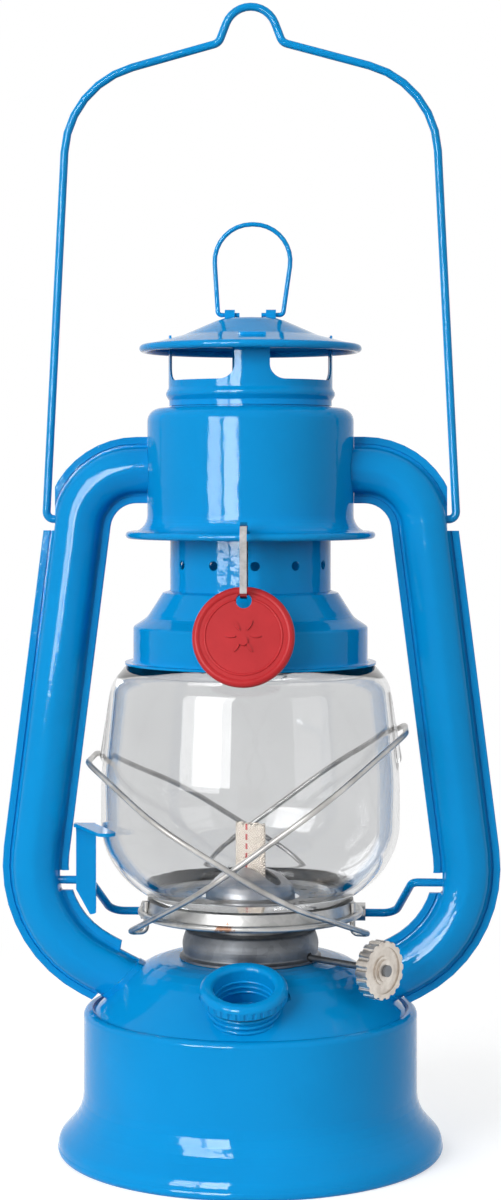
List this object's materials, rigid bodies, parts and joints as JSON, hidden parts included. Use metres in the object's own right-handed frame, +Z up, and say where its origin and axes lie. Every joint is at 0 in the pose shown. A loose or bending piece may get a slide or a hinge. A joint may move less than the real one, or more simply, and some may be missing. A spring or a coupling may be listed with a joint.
{
  "type": "kerosene hurricane lamp",
  "caption": "Blue enamelled kerosene lantern: tank base, side air tubes, glass globe with wire guards and a lift lever, sprung chimney and a wire bail.",
  "frame": {"origin": "middle of the foot, on the surface the lamp stands on", "axes": "+Z up, front with the filler cap at -Y, side tubes along X"},
  "size_m": [0.15, 0.1156, 0.3447],
  "materials": {
    "blue_enamel": "gloss",
    "galvanised": "satin",
    "zinc": "satin",
    "glass": "clear",
    "cloth": "woven",
    "rubber": "matt",
    "chrome": "polished",
    "red_plastic": "gloss"
  },
  "bodies": {
    "frame": {"tank_body": "blue_enamel", "tank_bottom": "blue_enamel", "tank_deck": "galvanised", "tank_dome": "blue_enamel", "filler_neck": "blue_enamel", "burner_collar": "galvanised", "burner_skirt": "galvanised", "burner_cone": "galvanised", "wick_tube": "galvanised", "shaft_bracket": "galvanised", "left_tube_front": "blue_enamel", "left_tube_rear": "blue_enamel", "right_tube_front": "blue_enamel", "right_tube_rear": "blue_enamel", "hood": "blue_enamel", "chimney_spring": "galvanised"},
    "gasket": {"filler_gasket": "rubber"},
    "cap": {"filler_cap": "blue_enamel"},
    "knob": {"wick_shaft": "galvanised", "wick_wheels": "galvanised", "wick_knob": "zinc"},
    "wick": {"wick": "cloth"},
    "lift": {"lift_wire": "blue_enamel", "lift_lever": "blue_enamel"},
    "globe_carriage": {"globe_plate": "galvanised", "globe": "glass", "guard_wire_left": "galvanised", "guard_wire_right": "galvanised"},
    "chimney": {"globe_collar": "blue_enamel", "chimney_tube": "blue_enamel", "spring_seat": "galvanised", "crown": "blue_enamel", "chimney_cap": "blue_enamel"},
    "loop": {"finger_loop": "blue_enamel"},
    "bail": {"bail": "blue_enamel"},
    "ring": {"tag_ring": "chrome"},
    "tag": {"tag": "red_plastic"}
  },
  "joints": [
    {"name": "bail_swing", "type": "hinge", "parent": "frame", "child": "bail", "pos_m": [0, 0, 0.1891], "axis": [1, 0, 0], "range_deg": [-135, 135]},
    {"name": "lever_turn", "type": "hinge", "parent": "frame", "child": "lift", "pos_m": [0, 0, 0.0801], "axis": [1, 0, 0], "range_deg": [0, 30]},
    {"name": "globe_lift", "type": "slide", "parent": "frame", "child": "globe_carriage", "axis": [0, 0, 1], "range_m": [0, 0.00961], "deforming": ["chimney_spring"]},
    {"name": "chimney_lift", "type": "slide", "parent": "globe_carriage", "child": "chimney", "axis": [0, 0, 1], "range_m": [0, 0.011], "stiffness_N_per_m": 200, "springref_m": -0.015, "deforming": ["chimney_spring"]},
    {"name": "loop_swing", "type": "hinge", "parent": "chimney", "child": "loop", "pos_m": [0, 0, 0.2506], "axis": [1, 0, 0], "range_deg": [-92, 92]},
    {"name": "knob_turn", "type": "hinge", "parent": "frame", "child": "knob", "pos_m": [0.00283, 0.00337, 0.059], "axis": [0.766, -0.6428, 0], "range_deg": [-34, 240]},
    {"name": "wick_slide", "type": "slide", "parent": "frame", "child": "wick", "axis": [0, 0, 1], "range_m": [-0.0139, 0.002]},
    {"name": "cap_rise", "type": "slide", "parent": "frame", "child": "gasket", "axis": [0, -0.3746, 0.9272], "range_m": [0, 0.00526]},
    {"name": "cap_turn", "type": "hinge", "parent": "gasket", "child": "cap", "pos_m": [0, -0.037, 0.05122], "axis": [0, -0.3746, 0.9272], "range_deg": [0, 630]},
    {"name": "ring_swing", "type": "hinge", "parent": "frame", "child": "ring", "pos_m": [0, -0.0342, 0.18555], "axis": [-1, 0, 0], "range_deg": [0, 20]},
    {"name": "tag_swing", "type": "hinge", "parent": "ring", "child": "tag", "pos_m": [0, -0.03855, 0.1717], "axis": [-1, 0, 0], "range_deg": [0, 60]}
  ],
  "couplings": [
    {"joint": "lever_turn", "follows": "globe_lift", "rad_per_m": 54.48},
    {"joint": "wick_slide", "follows": "knob_turn", "m_per_rad": -0.0033},
    {"joint": "cap_rise", "follows": "cap_turn", "m_per_rad": 0.000477}
  ]
}
